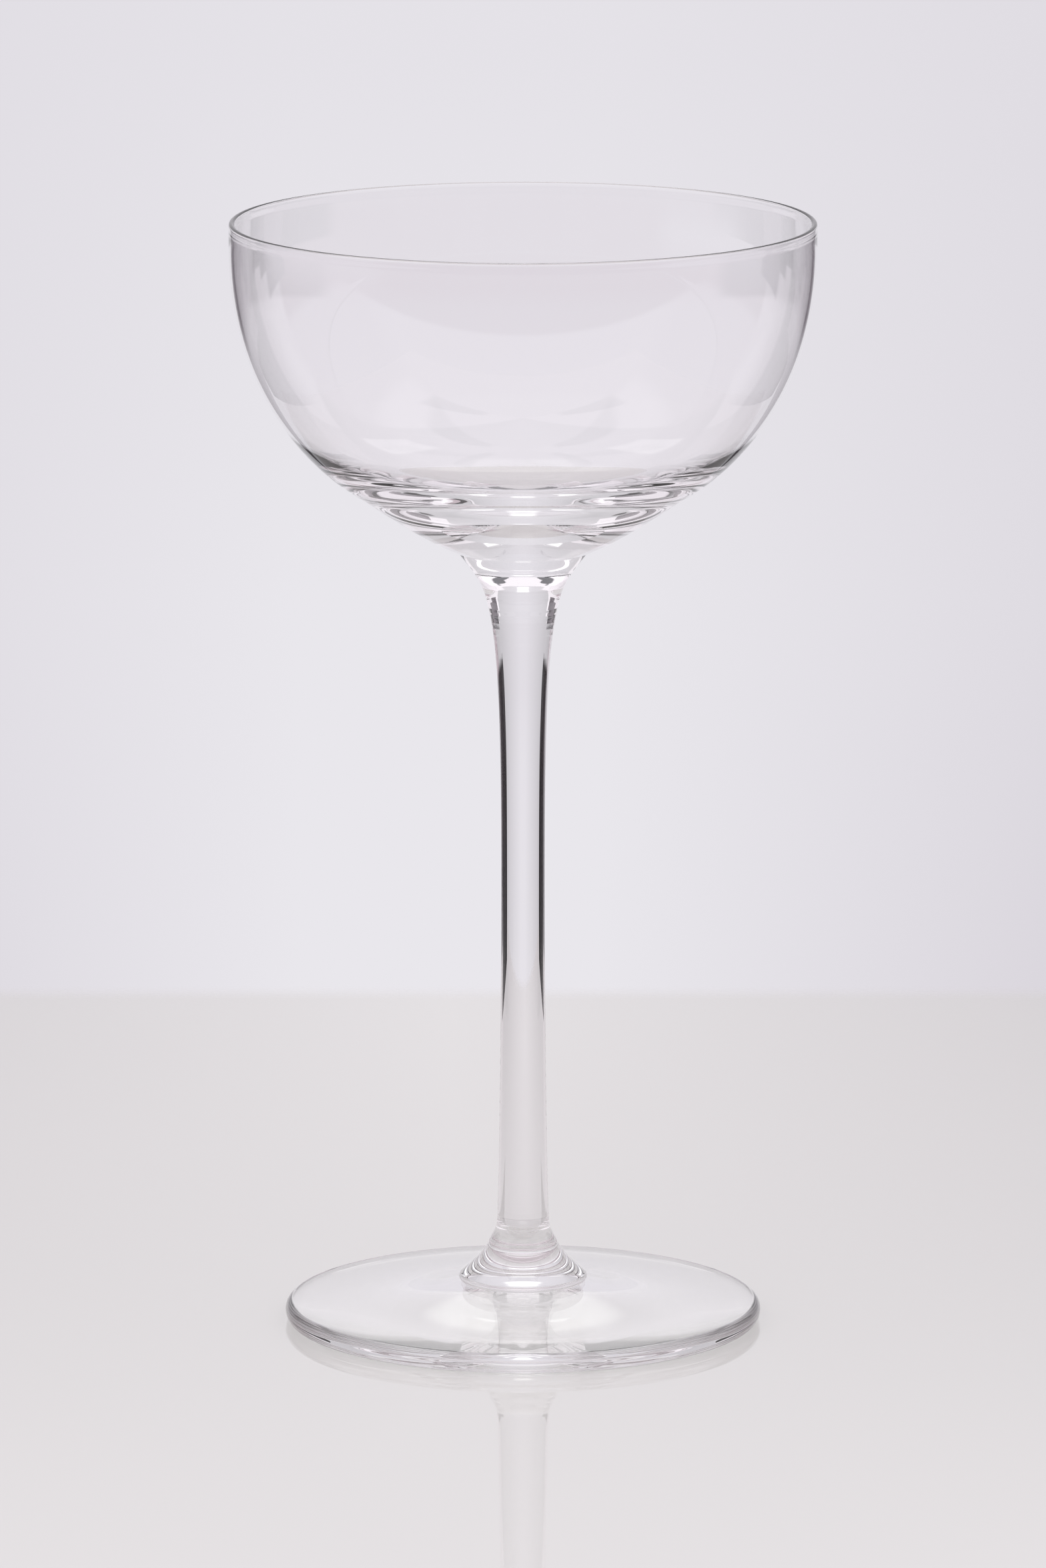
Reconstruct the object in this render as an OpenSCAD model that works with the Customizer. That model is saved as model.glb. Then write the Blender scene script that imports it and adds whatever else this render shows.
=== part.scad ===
// Stemmed cocktail glass with a deep round bowl, a long solid stem and a flat round foot.
// The origin is on the table under the middle of the foot, and +Z points up.

/* [Bowl] */
// Outer diameter at the rim
rim_d = 89.1; // [76:0.1:110]
// Height of the bowl from its weld to the rim
bowl_h = 50.7; // [40:0.1:64]
// Height of the straight band under the rim
rim_band_h = 3.7; // [2:0.1:9]
// Diameter at which the round wall turns into the shallow bottom
turn_d = 54.2; // [46:0.1:62]
// Height of that turn above the weld
turn_h = 10.3; // [8:0.1:14]
// Slope of the outside at the turn, in degrees
turn_slope = 32.6; // [26:0.2:40]
// Slope of the outside at the weld, in degrees
weld_slope = 22.6; // [12:0.2:30]
// Thickness of the fire-polished rim
rim_t = 0.9; // [0.6:0.05:1.6]
// Thickness of the wall in the upper bowl
wall_t = 0.7; // [0.5:0.02:1.4]
// Height of the inside's lowest point above the weld
bottom_t = 8; // [6:0.1:9.6]

/* [Bowl button] */
// Height of the flared collar between the stem and the bowl
button_h = 10.6; // [7:0.1:16]
// Diameter of the weld between the collar and the bowl
button_top_d = 19.8; // [15:0.1:24]
// Slope of the collar's outside at that weld, in degrees
button_slope = 52; // [46:1:64]

/* [Stem] */
// Length of the stem between its two welds
stem_l = 93.8; // [60:0.1:130]
// Diameter at the upper weld
stem_top_d = 9.8; // [8.4:0.1:12]
// Diameter at the waist
stem_waist_d = 6.66; // [5:0.02:8]
// Height of the waist above the lower weld
stem_waist_z = 50; // [30:1:58]
// Diameter at the lower weld
stem_bottom_d = 8.06; // [7:0.1:9.2]

/* [Foot post] */
// Height of the post above its seat on the foot
post_h = 9.4; // [7:0.1:14]
// Outer diameter of the rolled bead at the post's base
bead_d = 19.7; // [17:0.1:25]
// Thickness of the rolled bead
bead_t = 1.4; // [1:0.1:2.4]

/* [Foot disc] */
// Outer diameter of the foot
foot_d = 73.2; // [60:0.1:90]
// Thickness of the foot at its rounded edge
foot_edge_t = 3.0; // [2:0.1:4]
// Height of the post's seat above the table
foot_seat_z = 6.0; // [5:0.1:8]
// Width of the flat ring that the foot stands on
foot_ring_w = 2.4; // [1:0.1:5]
// Depth of the hollow under the middle of the foot
foot_hollow_h = 3.7; // [2.8:0.1:4.2]

/* [Hidden] */

// Steps along each curved part of an outline
curve_steps = 28;
round_steps = 10;

// Places of the welds, from the table up
stem_z = foot_seat_z + post_h;
button_z = stem_z + stem_l;
bowl_z = button_z + button_h;
rim_z = bowl_z + bowl_h;

glass_colour = [0.86, 0.88, 0.92, 0.35];

// A point on a cubic curve with four control points
function bezier_point(p, t) =
    pow(1 - t, 3) * p[0]
    + 3 * pow(1 - t, 2) * t * p[1]
    + 3 * (1 - t) * pow(t, 2) * p[2]
    + pow(t, 3) * p[3];

// Points along a cubic curve, without its first one
function bezier(p, steps = curve_steps) = [for (i = [1:steps]) bezier_point(p, i / steps)];

// The direction in which a cubic curve runs at a point
function bezier_way(p, t) =
    let (way = pow(1 - t, 2) * (p[1] - p[0])
        + 2 * (1 - t) * t * (p[2] - p[1])
        + pow(t, 2) * (p[3] - p[2]))
    way / norm(way);

// Points along part of an ellipse round a centre, from one angle to another
function arc(centre, half_w, half_h, from, to, steps = round_steps) =
    [for (i = [0:steps])
        let (a = from + (to - from) * i / steps)
        centre + [half_w * cos(a), half_h * sin(a)]];

// A solid of glass turned from half an outline
module turned(outline) {
    color(glass_colour)
        rotate_extrude($fn = 96)
            polygon(outline);
}

// Foot disc

// The edge is rounder below than above, so its widest line lies under its middle. The hollow
// runs along with the top, so the glass between them keeps an even thickness.
edge_half_w = foot_edge_t * 0.42;
edge_low_h = foot_edge_t * 0.53;
edge_r = foot_d / 2 - edge_half_w;
ring_in_r = edge_r - foot_ring_w;
seat_r = bead_d / 2 - bead_t / 2;
foot_slope = foot_seat_z - foot_edge_t;

module foot_disc() {
    foot_run = edge_r - seat_r;
    top = bezier([
        [edge_r, foot_edge_t],
        [edge_r - foot_run * 0.3, foot_edge_t + foot_slope * 0.1],
        [seat_r + foot_run * 0.3, foot_seat_z - foot_slope * 0.55],
        [seat_r, foot_seat_z]
    ]);
    hollow = bezier([
        [0, foot_hollow_h],
        [ring_in_r * 0.2, foot_hollow_h],
        [ring_in_r * 0.5, foot_hollow_h * 0.05],
        [ring_in_r, 0]
    ]);
    edge_low = arc([edge_r, edge_low_h], edge_half_w, edge_low_h, -90, 0);
    edge_high = arc([edge_r, edge_low_h], edge_half_w, foot_edge_t - edge_low_h, 0, 90);
    turned(concat(
        [[0, foot_hollow_h]],
        hollow,
        edge_low,
        [for (i = [1:round_steps]) edge_high[i]],
        top,
        [[0, foot_seat_z]]
    ));
}

// Foot post

bead_r = bead_d / 2 - bead_t / 2;
stem_bottom_r = stem_bottom_d / 2;
bead_tilt = 50;
crease_share = 0.69;

module foot_post() {
    crease = [stem_bottom_r * 1.28, foot_seat_z + post_h * crease_share];
    bead_end = [bead_r, foot_seat_z + bead_t / 2]
        + bead_t / 2 * [cos(bead_tilt), sin(bead_tilt)];
    cone_h = crease.y - bead_end.y;
    neck = bezier([
        crease,
        crease + [-stem_bottom_r * 0.1, post_h * 0.06],
        [stem_bottom_r, stem_z - post_h * 0.1],
        [stem_bottom_r, stem_z]
    ], round_steps);
    cone = bezier([
        bead_end,
        bead_end + [-cone_h * 0.41, cone_h * 0.33],
        crease + [cone_h * 0.12, -cone_h * 0.36],
        crease
    ]);
    bead = arc([bead_r, foot_seat_z + bead_t / 2], bead_t / 2, bead_t / 2, -90, bead_tilt);
    turned(concat([[0, foot_seat_z]], bead, cone, neck, [[0, stem_z]]));
}

// Stem

module stem() {
    waist_r = stem_waist_d / 2;
    top_r = stem_top_d / 2;
    waist = [waist_r, stem_z + stem_waist_z];
    upper_l = stem_l - stem_waist_z;
    lower = bezier([
        [stem_bottom_r, stem_z],
        [stem_bottom_r - (stem_bottom_r - waist_r) * 0.29, stem_z + stem_waist_z * 0.05],
        [waist_r, stem_z + stem_waist_z * 0.55],
        waist
    ]);
    upper = bezier([
        waist,
        [waist_r, stem_z + stem_waist_z + upper_l * 0.42],
        [top_r - upper_l * 0.035, button_z - upper_l * 0.19],
        [top_r, button_z]
    ]);
    turned(concat(
        [[0, stem_z], [stem_bottom_r, stem_z]],
        lower,
        upper,
        [[0, button_z]]
    ));
}

// Bowl button

module bowl_button() {
    low_r = stem_top_d / 2;
    high_r = button_top_d / 2;
    flare = bezier([
        [low_r, button_z],
        [low_r + button_h * 0.092, button_z + button_h * 0.5],
        [high_r, bowl_z] - button_h * 0.546 * [cos(button_slope), sin(button_slope)],
        [high_r, bowl_z]
    ]);
    turned(concat([[0, button_z], [low_r, button_z]], flare, [[0, bowl_z]]));
}

// Bowl

rim_r = rim_d / 2;
turn_r = turn_d / 2;
band_z = rim_z - rim_band_h;
turn_z = bowl_z + turn_h;
round_h = band_z - turn_z;
turn_way = [cos(turn_slope), sin(turn_slope)];
weld_way = [cos(weld_slope), sin(weld_slope)];
lip_share = 0.4;

// The outside of the round wall, from the straight band down to the turn
round_wall = [
    [rim_r, band_z],
    [rim_r, band_z - round_h * 0.587],
    [turn_r, turn_z] + round_h * 0.184 * turn_way,
    [turn_r, turn_z]
];

// The share of the round wall, from the band down, that has an even thickness
even_share = 0.6;

// A point on the inside of the even wall
function inner_point(t) =
    let (way = bezier_way(round_wall, t))
    bezier_point(round_wall, t) + wall_t * [way.y, -way.x];

module bowl() {
    weld = [button_top_d / 2, bowl_z];
    shallow_run = norm([turn_r, turn_z] - weld);
    shallow = bezier([
        weld,
        weld + shallow_run * 0.37 * weld_way,
        [turn_r, turn_z] - shallow_run * 0.32 * turn_way,
        [turn_r, turn_z]
    ]);
    outside = [for (i = [1:curve_steps]) bezier_point(round_wall, 1 - i / curve_steps)];
    lip_h = rim_band_h * lip_share;
    lip_z = rim_z - rim_t / 2;
    lip = arc([rim_r - rim_t / 2, lip_z], rim_t / 2, rim_t / 2, 0, 180);
    fade = bezier([
        [rim_r - rim_t, lip_z],
        [rim_r - rim_t, lip_z - lip_h * 0.5],
        [rim_r - wall_t, lip_z - lip_h * 0.5],
        [rim_r - wall_t, lip_z - lip_h]
    ], round_steps);
    inside = [for (i = [0:curve_steps]) inner_point(even_share * i / curve_steps)];
    bottom_z = bowl_z + bottom_t;
    bottom = bezier([
        inner_point(even_share),
        inner_point(even_share) + bezier_way(round_wall, even_share) * turn_r * 0.42,
        [turn_r * 0.6, bottom_z],
        [0, bottom_z]
    ]);
    turned(concat([[0, bowl_z], weld], shallow, outside, lip, fade, inside, bottom));
}

foot_disc();
foot_post();
stem();
bowl_button();
bowl();
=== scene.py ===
import math

import bmesh
import bpy
from mathutils import Matrix


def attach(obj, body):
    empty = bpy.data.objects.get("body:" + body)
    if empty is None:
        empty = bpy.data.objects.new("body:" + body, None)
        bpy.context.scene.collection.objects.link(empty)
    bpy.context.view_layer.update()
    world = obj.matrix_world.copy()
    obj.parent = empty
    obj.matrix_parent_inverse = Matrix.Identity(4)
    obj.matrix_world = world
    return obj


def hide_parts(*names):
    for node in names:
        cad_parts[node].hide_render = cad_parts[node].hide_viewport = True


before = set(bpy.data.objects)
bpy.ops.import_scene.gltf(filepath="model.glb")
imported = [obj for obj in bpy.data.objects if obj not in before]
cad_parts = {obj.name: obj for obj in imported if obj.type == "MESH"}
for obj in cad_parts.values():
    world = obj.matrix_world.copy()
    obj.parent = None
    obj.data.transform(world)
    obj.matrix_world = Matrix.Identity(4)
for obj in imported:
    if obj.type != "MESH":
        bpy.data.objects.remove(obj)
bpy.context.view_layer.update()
scene = bpy.context.scene

# Foot disc
# The foot is a flat round disc of clear pressed glass. Its top rises gently to the seat of
# the post, its edge is fire-polished round, and its underside is hollowed inside a flat ring.

MM = 0.001
TURNS = 288
TOUCH = 1e-7


def curve(points, steps):
    """Points along a cubic curve, the first one left out."""
    way = []
    for i in range(1, steps + 1):
        t = i / steps
        share = ((1 - t) ** 3, 3 * t * (1 - t) ** 2, 3 * t ** 2 * (1 - t), t ** 3)
        way.append(tuple(sum(s * p[axis] for s, p in zip(share, points)) for axis in (0, 1)))
    return way


def bow(centre, half_w, half_h, start, end, steps):
    """Points along part of an ellipse, from one angle to another."""
    angles = [math.radians(start + (end - start) * i / steps) for i in range(steps + 1)]
    return [(centre[0] + half_w * math.cos(a), centre[1] + half_h * math.sin(a)) for a in angles]


def linear(hex_colour, level=1.0):
    """A written sRGB colour as the linear one that a shader takes, times a level."""
    channels = [int(hex_colour[i:i + 2], 16) / 255 for i in (1, 3, 5)]
    return [level * (c / 12.92 if c <= 0.04045 else ((c + 0.055) / 1.055) ** 2.4)
            for c in channels] + [1]


def add(tree, kind, settings=None, links=None):
    """A node with its settings, and links from other nodes' sockets into its own."""
    node = tree.nodes.new(kind)
    for name, value in (settings or {}).items():
        if isinstance(name, int) or name in node.inputs:
            node.inputs[name].default_value = value
        else:
            setattr(node, name, value)
    for name, socket in (links or {}).items():
        tree.links.new(socket, node.inputs[name])
    return node


def blank_material(name):
    """A material whose nodes are still to be added."""
    material = bpy.data.materials.new(name)
    material.use_nodes = True
    material.node_tree.nodes.clear()
    return material


# Clear soda-lime glass, pressed or blown and then fire-polished: colourless, mirror-smooth and
# without any grain, so all that the eye gets is what its shape bends and reflects.
clear_glass = blank_material("clear_glass")
add(clear_glass.node_tree, "ShaderNodeOutputMaterial", links={
    "Surface": add(clear_glass.node_tree, "ShaderNodeBsdfPrincipled", {
        "Base Color": linear("#FEFDFE"),
        "Roughness": 0.0,
        "IOR": 1.52,
        "Transmission Weight": 1.0,
    }).outputs[0]})

# Where two pieces are welded the glass runs on without a surface, so the faces that meet there
# let everything through.
welded_glass = blank_material("welded_glass")
add(welded_glass.node_tree, "ShaderNodeOutputMaterial", links={
    "Surface": add(welded_glass.node_tree, "ShaderNodeBsdfPrincipled", {
        "Base Color": linear("#FDFEFE"),
        "Roughness": 0.0,
        "Alpha": 0.0,
    }).outputs[0]})


def turn(name, outline, node, welds):
    """A glass piece turned from half an outline in mm, with open weld faces at the given heights.

    An eighth of it is spun and then doubled three times, which keeps the round true.
    """
    bm = bmesh.new()
    line = [bm.verts.new((r * MM, 0, z * MM)) for r, z in outline]
    edges = [bm.edges.new(pair) for pair in zip(line, line[1:])]
    bmesh.ops.spin(bm, geom=line + edges, cent=(0, 0, 0), axis=(0, 0, 1),
                   angle=math.pi / 4, steps=TURNS // 8, use_merge=False)
    for part in (8, 4, 2):
        copy = bmesh.ops.duplicate(bm, geom=bm.verts[:] + bm.edges[:] + bm.faces[:])
        bmesh.ops.rotate(bm, verts=[v for v in copy["geom"] if isinstance(v, bmesh.types.BMVert)],
                         cent=(0, 0, 0), matrix=Matrix.Rotation(2 * math.pi / part, 3, "Z"))
    bmesh.ops.remove_doubles(bm, verts=bm.verts, dist=TOUCH)
    bmesh.ops.recalc_face_normals(bm, faces=bm.faces)
    for face in bm.faces:
        flat = any(all(abs(v.co.z - z * MM) < TOUCH for v in face.verts) for z in welds)
        face.smooth = not flat
        face.material_index = 1 if flat else 0
    for edge in bm.edges:
        if len({face.material_index for face in edge.link_faces}) > 1:
            edge.smooth = False
    mesh = bpy.data.meshes.new(name)
    bm.to_mesh(mesh)
    bm.free()
    mesh.materials.append(clear_glass)
    mesh.materials.append(welded_glass)
    piece = bpy.data.objects.new(name, mesh)
    scene.collection.objects.link(piece)
    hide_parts(node)
    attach(piece, "root")


foot_r, seat_z, hollow_h, ring_w = 36.6, 6.0, 3.7, 2.4
foot_edge_t = 3.0
edge_half_w, edge_low_h = foot_edge_t * 0.42, foot_edge_t * 0.53
bead_r, bead_t = 9.15, 1.4
edge_r = foot_r - edge_half_w
ring_in_r = edge_r - ring_w
foot_run = edge_r - bead_r
foot_rise = seat_z - foot_edge_t

foot_outline = [(0, hollow_h)]
foot_outline += curve([
    (0, hollow_h),
    (ring_in_r * 0.2, hollow_h),
    (ring_in_r * 0.5, hollow_h * 0.05),
    (ring_in_r, 0),
], steps=90)
foot_outline += bow((edge_r, edge_low_h), edge_half_w, edge_low_h, -90, 0, steps=20)
foot_outline += bow((edge_r, edge_low_h), edge_half_w, foot_edge_t - edge_low_h,
                    0, 90, steps=20)[1:]
foot_outline += curve([
    (edge_r, foot_edge_t),
    (edge_r - foot_run * 0.3, foot_edge_t + foot_rise * 0.1),
    (bead_r + foot_run * 0.3, seat_z - foot_rise * 0.55),
    (bead_r, seat_z),
], steps=80)
foot_outline += [(0, seat_z)]
turn("pressed_foot", foot_outline, "foot_disc", [seat_z])

# Foot post
# The post is the cone of glass left where the hot stem was set down on the foot. It ends in a
# small rolled bead that lies on the disc, and a soft crease marks where it was nipped in.

post_h, stem_low_r = 9.4, 4.03
bead_tilt = 50
stem_z = seat_z + post_h
crease = (stem_low_r * 1.28, seat_z + post_h * 0.69)

post_outline = [(0, seat_z)]
post_outline += bow((bead_r, seat_z + bead_t / 2), bead_t / 2, bead_t / 2,
                    -90, bead_tilt, steps=24)
bead_end = post_outline[-1]
cone_h = crease[1] - bead_end[1]
post_outline += curve([
    bead_end,
    (bead_end[0] - cone_h * 0.41, bead_end[1] + cone_h * 0.33),
    (crease[0] + cone_h * 0.12, crease[1] - cone_h * 0.36),
    crease,
], steps=48)
post_outline += curve([
    crease,
    (crease[0] - stem_low_r * 0.1, crease[1] + post_h * 0.06),
    (stem_low_r, stem_z - post_h * 0.1),
    (stem_low_r, stem_z),
], steps=20)
post_outline += [(0, stem_z)]
turn("foot_collar", post_outline, "foot_post", [seat_z, stem_z])

# Stem
# The stem is one solid drawn rod of clear glass. It is slimmest at its waist, a little over
# half of the way up, and swells towards both of its welds.

stem_l, waist_z = 93.8, 50.0
stem_top_r, waist_r = 4.9, 3.33
button_z = stem_z + stem_l
waist = (waist_r, stem_z + waist_z)
upper_l = stem_l - waist_z

# Drawing the hot glass out leaves faint rings around the upper weld. They grow from nothing at
# the lower height and are gone again at the upper one.
rings_low_z, rings_high_z = 103.0, 119.0
rings_rise, rings_fall = 4.0, 2.0
rings_pitch, rings_h = 1.1, 0.005


def ringed(outline):
    """The outline with the faint rings in its surface."""
    points = []
    for r, z in outline:
        rise = min(max((z - rings_low_z) / rings_rise, 0), 1)
        fall = min(max((rings_high_z - z) / rings_fall, 0), 1)
        depth = rings_h * rise * fall if r > 0 else 0
        points.append((r - depth * (1 + math.sin(2 * math.pi * z / rings_pitch)), z))
    return points


stem_outline = [(0, stem_z), (stem_low_r, stem_z)]
stem_outline += curve([
    (stem_low_r, stem_z),
    (stem_low_r - (stem_low_r - waist_r) * 0.29, stem_z + waist_z * 0.05),
    (waist_r, stem_z + waist_z * 0.55),
    waist,
], steps=70)
stem_outline += curve([
    waist,
    (waist_r, waist[1] + upper_l * 0.42),
    (stem_top_r - upper_l * 0.035, button_z - upper_l * 0.19),
    (stem_top_r, button_z),
], steps=200)
stem_outline += [(0, button_z)]
turn("drawn_stem", ringed(stem_outline), "stem", [stem_z, button_z])

# Bowl button
# The button is the flared collar of clear glass that takes the stem up into the bowl. It is
# drawn out hot with the stem, and the faint rings run on into it.

button_h, button_r = 10.6, 9.9
bowl_z = button_z + button_h
button_slope = math.radians(52)
flare_l = button_h * 0.546

button_outline = [(0, button_z), (stem_top_r, button_z)]
button_outline += curve([
    (stem_top_r, button_z),
    (stem_top_r + button_h * 0.092, button_z + button_h * 0.5),
    (button_r - flare_l * math.cos(button_slope), bowl_z - flare_l * math.sin(button_slope)),
    (button_r, bowl_z),
], steps=150)
button_outline += [(0, bowl_z)]
turn("flared_button", ringed(button_outline), "bowl_button", [button_z, bowl_z])

# Bowl
# The bowl is blown thin into a mould. Its wall keeps an even thickness down to the lower third
# and then gathers into a thick bottom, and its rim is cut and melted round.

rim_r, bowl_h, band_h, turn_r, turn_h = 44.55, 50.7, 3.7, 27.1, 10.3
rim_t, wall_t, bottom_t = 0.9, 0.7, 8.0
even_share, even_steps = 0.6, 50
rim_z = bowl_z + bowl_h
band_z = rim_z - band_h
turn_z = bowl_z + turn_h
bottom_z = bowl_z + bottom_t
round_h = band_z - turn_z
lip_z, lip_h = rim_z - rim_t / 2, band_h * 0.4
turn_slope, weld_slope = math.radians(32.6), math.radians(22.6)


def along(start, slope, length):
    """The point at a length from another one, up a slope."""
    return start[0] + length * math.cos(slope), start[1] + length * math.sin(slope)


# The outside, from the straight band under the rim down to the turn into the shallow bottom
round_wall = [
    (rim_r, band_z),
    (rim_r, band_z - round_h * 0.587),
    along((turn_r, turn_z), turn_slope, round_h * 0.184),
    (turn_r, turn_z),
]


def inner(t):
    """A point on the inside of the even wall, and the way in which the wall runs there."""
    p = round_wall
    share = ((1 - t) ** 3, 3 * t * (1 - t) ** 2, 3 * t ** 2 * (1 - t), t ** 3)
    at = [sum(s * q[axis] for s, q in zip(share, p)) for axis in (0, 1)]
    slope = ((1 - t) ** 2, 2 * t * (1 - t), t ** 2)
    way = [sum(s * (p[k + 1][axis] - p[k][axis]) for k, s in enumerate(slope)) for axis in (0, 1)]
    length = math.hypot(*way)
    way = (way[0] / length, way[1] / length)
    return (at[0] + wall_t * way[1], at[1] - wall_t * way[0]), way


shallow_run = math.hypot(turn_r - button_r, turn_h)
bowl_outline = [(0, bowl_z), (button_r, bowl_z)]
bowl_outline += curve([
    (button_r, bowl_z),
    along((button_r, bowl_z), weld_slope, shallow_run * 0.37),
    along((turn_r, turn_z), turn_slope, -shallow_run * 0.32),
    (turn_r, turn_z),
], steps=50)
bowl_outline += curve(round_wall[::-1], steps=90)
bowl_outline += bow((rim_r - rim_t / 2, lip_z), rim_t / 2, rim_t / 2, 0, 180, steps=16)
bowl_outline += curve([
    (rim_r - rim_t, lip_z),
    (rim_r - rim_t, lip_z - lip_h * 0.5),
    (rim_r - wall_t, lip_z - lip_h * 0.5),
    (rim_r - wall_t, lip_z - lip_h),
], steps=10)
bowl_outline += [inner(even_share * i / even_steps)[0] for i in range(even_steps + 1)]
even_end, even_way = inner(even_share)
gather_l = turn_r * 0.42
bowl_outline += curve([
    even_end,
    (even_end[0] + even_way[0] * gather_l, even_end[1] + even_way[1] * gather_l),
    (turn_r * 0.6, bottom_z),
    (0, bottom_z),
], steps=110)
turn("blown_bowl", bowl_outline, "bowl", [bowl_z])

# Table
# The glass stands on a pale board with a wet-looking gloss, which mirrors the foot and the stem
# and ends softly against the backdrop. It lies a hair below the foot.

board_half, board_fade, board_gap = 246, 14, 0.02


def sheet(name, corners, material):
    """A flat sheet of the studio, from its corners in mm."""
    bm = bmesh.new()
    bm.faces.new([bm.verts.new((x * MM, y * MM, z * MM)) for x, y, z in corners])
    mesh = bpy.data.meshes.new(name)
    bm.to_mesh(mesh)
    bm.free()
    mesh.materials.append(material)
    piece = bpy.data.objects.new(name, mesh)
    scene.collection.objects.link(piece)
    return piece


# White acrylic sheet, cast and polished: even in colour, and glossy enough to mirror what stands
# on it.
# It also glows with painted light of its own, with no lamp behind it.
acrylic_painted_glow = blank_material("acrylic_painted_glow")
tree = acrylic_painted_glow.node_tree
spot = add(tree, "ShaderNodeTexCoord").outputs["Object"]
place = add(tree, "ShaderNodeSeparateXYZ", links={0: spot})

# It fades out at its edges.
edge_x = add(tree, "ShaderNodeMath", {"operation": "ABSOLUTE"}, {0: place.outputs["X"]})
edge_y = add(tree, "ShaderNodeMath", {"operation": "ABSOLUTE"}, {0: place.outputs["Y"]})
edge = add(tree, "ShaderNodeMath", {"operation": "MAXIMUM"}, {
    0: edge_x.outputs[0], 1: edge_y.outputs[0]})
faded = add(tree, "ShaderNodeMapRange", {
    "interpolation_type": "SMOOTHSTEP",
    "From Min": (board_half - board_fade) * MM,
    "From Max": (board_half - 1) * MM,
}, {"Value": edge.outputs[0]})

# The painted glow is even along a line through the glass, and falls off to both sides of it the
# more the farther back it is, which paints the board darker there. A little more painted light is
# added at the front, and a painted pool of light lies under the foot.
glow_x, glow_y, glow_fall, glow_level = -0.012, -0.15, 3.2, 0.42
front_glow_rise, front_glow_level = 0.25, 0.01
foot_glow_r, foot_glow_end_r, foot_glow_level = 0.0335, 0.0375, 0.11
from_line = add(tree, "ShaderNodeMath", {"operation": "SUBTRACT", 1: glow_x}, {
    0: place.outputs["X"]})
beside = add(tree, "ShaderNodeMath", {"operation": "ABSOLUTE"}, {0: from_line.outputs[0]})
beyond = add(tree, "ShaderNodeMath", {"operation": "SUBTRACT", "use_clamp": True, 1: glow_y}, {
    0: place.outputs["Y"]})
corner = add(tree, "ShaderNodeMath", {"operation": "MULTIPLY"}, {
    0: beside.outputs[0], 1: beyond.outputs[0]})
glow_along_line = add(tree, "ShaderNodeMath", {
    "operation": "MULTIPLY_ADD", "use_clamp": True, 1: -glow_fall, 2: glow_level,
}, {0: corner.outputs[0]})
# A little painted light, stronger towards the front of the board.
front_glow = add(tree, "ShaderNodeMath", {
    "operation": "MULTIPLY_ADD", "use_clamp": True, 1: -front_glow_rise, 2: front_glow_level,
}, {0: place.outputs["Y"]})
# A painted pool of light under the foot, fading out just past its edge.
radius = add(tree, "ShaderNodeVectorMath", {"operation": "LENGTH"}, {0: spot})
foot_glow = add(tree, "ShaderNodeMapRange", {
    "interpolation_type": "SMOOTHSTEP",
    "From Min": foot_glow_r,
    "From Max": foot_glow_end_r,
    "To Min": foot_glow_level,
    "To Max": 0.0,
}, {"Value": radius.outputs["Value"]})
# The board's painted glow is the sum of the three.
painted_glow = add(tree, "ShaderNodeMath", {"operation": "ADD"}, {
    0: glow_along_line.outputs[0], 1: front_glow.outputs[0]})
painted_glow = add(tree, "ShaderNodeMath", {"operation": "ADD"}, {
    0: painted_glow.outputs[0], 1: foot_glow.outputs[0]})
# The emission colour and strength are the painted glow; the board is no lamp.
board = add(tree, "ShaderNodeBsdfPrincipled", {
    "Base Color": linear("#9E9A9B"),
    "Roughness": 0.02,
    "IOR": 1.49,
    "Emission Color": linear("#E4E4E1"),
}, {"Emission Strength": painted_glow.outputs[0]})
gone = add(tree, "ShaderNodeBsdfTransparent")
mix = add(tree, "ShaderNodeMixShader", links={
    0: faded.outputs[0], 1: board.outputs[0], 2: gone.outputs[0]})
add(tree, "ShaderNodeOutputMaterial", links={"Surface": mix.outputs[0]})

sheet("table", [(x * board_half, y * board_half, -board_gap)
                for x, y in ((-1, -1), (1, -1), (1, 1), (-1, 1))], acrylic_painted_glow)

# Side cards
# Black cards stand out of the picture on both sides of the glass, along the view, with narrow
# black strips low beside the stem, and grey cards hang beside the bowl. The clear glass takes its
# dark edges from them.

standing = [(163, 25, 44), (163, 216, 44), (163, 216, 150), (163, 25, 150)]
hanging = [(79, 112, 162), (163, 112, 162), (163, 112, 104), (112, 112, 104), (82, 112, 80),
           (66, 112, 72)]
strip = [(105, 58, 18), (105, 142, 18), (105, 142, 40), (105, 58, 40)]
near_y, shown_z = (0.025, 0.08), (0.118, 0.13)

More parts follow.
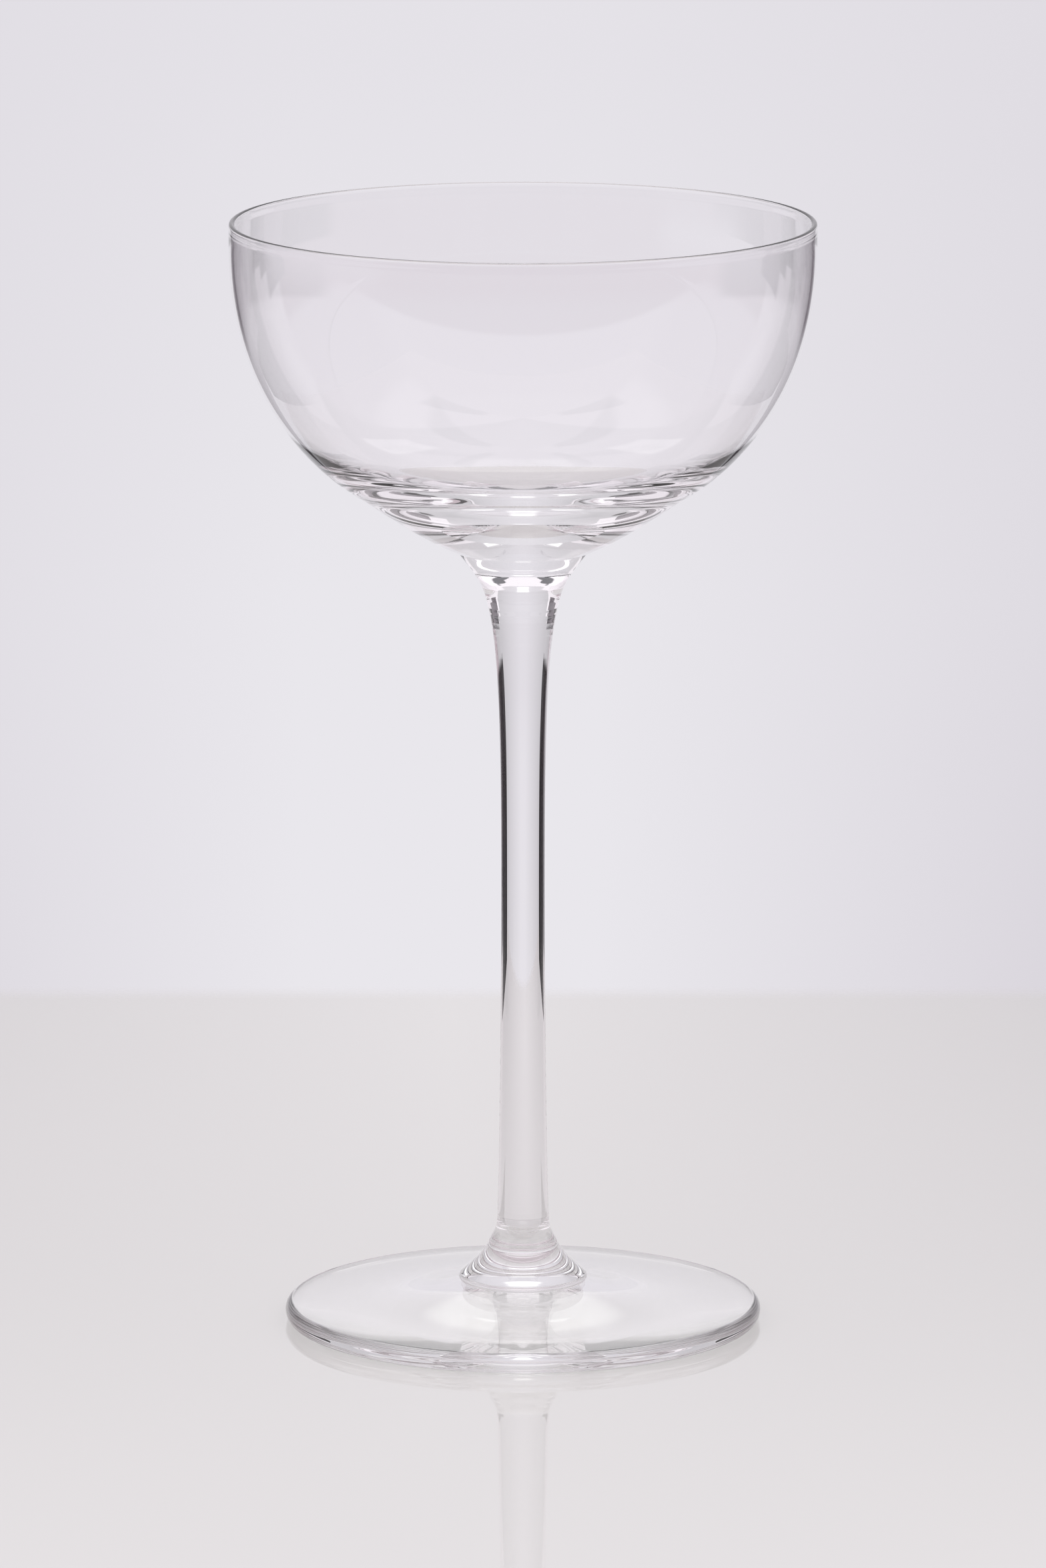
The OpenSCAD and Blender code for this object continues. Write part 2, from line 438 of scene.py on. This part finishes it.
# Black flocked card sends almost nothing back, and grey card is even and matt. Both thin out
# softly at their near end. Their lower part shows only in reflections, and light that comes
# through the glass passes it by, so that the glass stays clear from its other sides.
papers = {}
for name, colour in (("black_flock", "#0A0A0C"), ("grey_card", "#8F8D92")):
    papers[name] = blank_material(name)
    tree = papers[name].node_tree
    spot = add(tree, "ShaderNodeTexCoord").outputs["Object"]
    place = add(tree, "ShaderNodeSeparateXYZ", links={0: spot})
    near = add(tree, "ShaderNodeMapRange", {
        "interpolation_type": "SMOOTHSTEP",
        "From Min": near_y[0],
        "From Max": near_y[1],
    }, {"Value": place.outputs["Y"]})
    high = add(tree, "ShaderNodeMapRange", {"From Min": shown_z[0], "From Max": shown_z[1]}, {
        "Value": place.outputs["Z"]})
    shown = add(tree, "ShaderNodeMath", {"operation": "MAXIMUM"}, {
        0: add(tree, "ShaderNodeLightPath").outputs["Is Reflection Ray"], 1: high.outputs[0]})
    part = add(tree, "ShaderNodeMath", {"operation": "MULTIPLY"}, {
        0: near.outputs[0], 1: shown.outputs[0]})
    gone = add(tree, "ShaderNodeBsdfTransparent")
    matt = add(tree, "ShaderNodeBsdfPrincipled", {"Base Color": linear(colour), "Roughness": 1.0})
    mix = add(tree, "ShaderNodeMixShader", links={
        0: part.outputs[0], 1: gone.outputs[0], 2: matt.outputs[0]})
    add(tree, "ShaderNodeOutputMaterial", links={"Surface": mix.outputs[0]})

# The strips are cut from plain black card, matt all over, and show through the glass but not in
# reflections.
black_card = blank_material("black_card")
add(black_card.node_tree, "ShaderNodeOutputMaterial", links={
    "Surface": add(black_card.node_tree, "ShaderNodeBsdfPrincipled", {
        "Base Color": linear("#0A0A0C"),
        "Roughness": 1.0,
    }).outputs[0]})

for corners, paper in ((hanging, papers["grey_card"]), (standing, papers["black_flock"]),
                       (strip, black_card)):
    for side in (-1, 1):
        card = sheet("side_card", [(side * x, y, z) for x, y, z in corners], paper)
        card.visible_camera = card.visible_shadow = card.visible_diffuse = False
        card.visible_glossy = paper is not black_card

# Soft boxes
# Two tall lights under pale cloth stand on both sides, behind the cards, and show over them.

box_y, box_in_x, box_out_x, box_low_z, box_high_z = 260, 160, 390, 138, 330

# Pale diffusion cloth, woven so fine that it only glows evenly.
pale_cloth = blank_material("pale_cloth")
add(pale_cloth.node_tree, "ShaderNodeOutputMaterial", links={
    "Surface": add(pale_cloth.node_tree, "ShaderNodeEmission", {
        "Color": linear("#FFFAFF"),
        "Strength": 1.0,
    }).outputs[0]})

for side in (-1, 1):
    box = sheet("soft_box", [
        (side * box_in_x, box_y, box_low_z),
        (side * box_out_x, box_y, box_low_z),
        (side * box_out_x, box_y, box_high_z),
        (side * box_in_x, box_y, box_high_z),
    ], pale_cloth)
    box.visible_camera = box.visible_shadow = False

# Studio
# A pale sweep surrounds the glass. It is brightest behind the stem, and greyer to the sides. The
# room behind the camera is dim and a little warm, with a wide soft box above it. Directions are
# given in degrees: the heading from the backdrop, and the height over the table.

world = bpy.data.worlds.new("studio")
scene.world = world
world.use_nodes = True
tree = world.node_tree
tree.nodes.clear()
direction = add(tree, "ShaderNodeTexCoord").outputs["Generated"]
ray = add(tree, "ShaderNodeSeparateXYZ", links={0: direction})
heading = add(tree, "ShaderNodeMath", {"operation": "ARCTAN2"}, {
    0: ray.outputs["X"], 1: ray.outputs["Y"]}).outputs[0]
aside = add(tree, "ShaderNodeMath", {"operation": "ABSOLUTE"}, {0: heading}).outputs[0]
height = add(tree, "ShaderNodeMath", {"operation": "ARCSINE"}, {0: ray.outputs["Z"]}).outputs[0]

# The lower edge of the wide soft box lies in a slanting plane through the glass, and this is
# the height over that plane.
slant = math.radians(39)
over = add(tree, "ShaderNodeVectorMath", {
    "operation": "DOT_PRODUCT", 1: (0, math.sin(slant), math.cos(slant)),
}, {0: direction}).outputs["Value"]

# The backdrop dims a little towards its top, and low down towards both sides of the stem.
middle, pool, pool_fade = math.radians(-0.4), math.radians(0.8), math.radians(3.2)
top, bend, bottom = math.radians(-7.2), math.radians(-10), math.radians(-12)
top_dim, side_dim = 0.3, 0.95
off_middle = add(tree, "ShaderNodeMath", {"operation": "SUBTRACT", 1: middle}, {0: heading})
off_middle = add(tree, "ShaderNodeMath", {"operation": "ABSOLUTE"}, {0: off_middle.outputs[0]})
sideways = add(tree, "ShaderNodeMapRange", {"From Min": pool, "From Max": pool_fade}, {
    "Value": off_middle.outputs[0]})
downwards = add(tree, "ShaderNodeMapRange", {
    "From Min": top, "From Max": bottom, "To Min": top_dim, "To Max": side_dim,
}, {"Value": height})
upwards = add(tree, "ShaderNodeMapRange", {
    "From Min": bend, "From Max": top, "To Min": 0.0, "To Max": top_dim,
}, {"Value": height})
dimmed = add(tree, "ShaderNodeMath", {"operation": "MULTIPLY_ADD"}, {
    0: sideways.outputs[0], 1: downwards.outputs[0], 2: upwards.outputs[0]})
backdrop, behind_glass = (add(tree, "ShaderNodeMix", {
    "data_type": "RGBA", 6: linear("#E9E7EC"), 7: linear("#DAD6DD"),
}, {0: share.outputs[0]}).outputs[2] for share in (dimmed, upwards))

# What lights the glass goes on from that backdrop and turns grey round the sides.
grey_from, grey_to = math.radians(4), math.radians(36)
greyed = add(tree, "ShaderNodeMapRange", {"From Min": grey_from, "From Max": grey_to}, {
    "Value": aside})
surround = add(tree, "ShaderNodeMix", {"data_type": "RGBA", 7: linear("#CAC8CC")}, {
    0: greyed.outputs[0], 6: behind_glass}).outputs[2]


def patch(edges):
    """1 in a patch of directions and 0 outside it.

    Each edge is a value, the angle in degrees at which the patch starts and its softness, which
    is negative where the patch ends.
    """
    mask = None
    for value, angle, soft in edges:
        inside = add(tree, "ShaderNodeMapRange", {
            "interpolation_type": "SMOOTHSTEP",
            "From Min": math.radians(angle - soft),
            "From Max": math.radians(angle + soft),
        }, {"Value": value}).outputs[0]
        mask = inside if mask is None else add(tree, "ShaderNodeMath", {
            "operation": "MULTIPLY"}, {0: mask, 1: inside}).outputs[0]
    return mask


for edges, colour, level in (
        # the dim room behind the camera
        (((aside, 56, 4), (height, -12, 4), (height, 45, -4)), "#BBABB2", 1.0),
        # the wide soft box above the camera, a little stronger farther back
        (((over, 0, 1.5), (height, 9, 2), (aside, 56, 4)), "#F4EEF4", 1.0),
        (((over, 0, 1.5), (height, 9, 2), (aside, 112, 8)), "#FFFAFF", 1.05),
        # the light straight above the glass on both sides, with a dim gap in it
        (((aside, 50, 4), (aside, 112, -4), (height, 46, 4)), "#FFFAFF", 1.3),
        (((aside, 96, 2), (aside, 114, -2), (height, 57, 2), (height, 79, -2)), "#78787C", 1.0),
        # the small soft box above the backdrop, and a pale panel on each side of it
        (((heading, -6, 2), (heading, 6, -2), (height, 24, 2), (height, 42, -2)), "#FFFFFF", 1.35),
        (((aside, 18, 1), (aside, 33, -1), (height, 37, 1), (height, 50, -1)), "#FFFFFF", 1.6),
        # the dark far ends of the room, low on both sides
        (((aside, 37, 0.8), (aside, 96, -5), (height, -12.8, 0.8), (height, -3.5, -0.8)),
         "#18181A", 1.0),
        # an open place on the left, which is behind the glass when it is seen from the right
        (((heading, -122, 7), (heading, -60, -7), (height, -8, 7), (height, 4, -7)),
         "#E6E4E9", 1.0)):
    surround = add(tree, "ShaderNodeMix", {"data_type": "RGBA", 7: linear(colour, level)}, {
        0: patch(edges), 6: surround}).outputs[2]

# The camera sees the backdrop itself, and the glass and the board get all the rest.
lit = add(tree, "ShaderNodeBackground", {"Strength": 1.0}, {"Color": surround})
seen = add(tree, "ShaderNodeBackground", {"Strength": 1.0}, {"Color": backdrop})
both = add(tree, "ShaderNodeMixShader", links={
    0: add(tree, "ShaderNodeLightPath").outputs["Is Camera Ray"],
    1: lit.outputs[0], 2: seen.outputs[0]})
add(tree, "ShaderNodeOutputWorld", links={"Surface": both.outputs[0]})

# Light has to get through many surfaces of the glass.
scene.cycles.max_bounces = 32
scene.cycles.transmission_bounces = 32
scene.cycles.glossy_bounces = 16
scene.cycles.transparent_max_bounces = 32

# Camera
# A long lens, looking a little down on the glass.

lens = bpy.data.cameras.new("camera")
lens.sensor_fit = "VERTICAL"
lens.sensor_height = 36
lens.lens = 249.1
lens.clip_end = 100
camera = bpy.data.objects.new("camera", lens)
camera.location = (0, -1.6278, 0.4002)
camera.rotation_euler = (math.radians(79), 0, 0)
scene.collection.objects.link(camera)
scene.camera = camera
scene.view_settings.view_transform = "Standard"
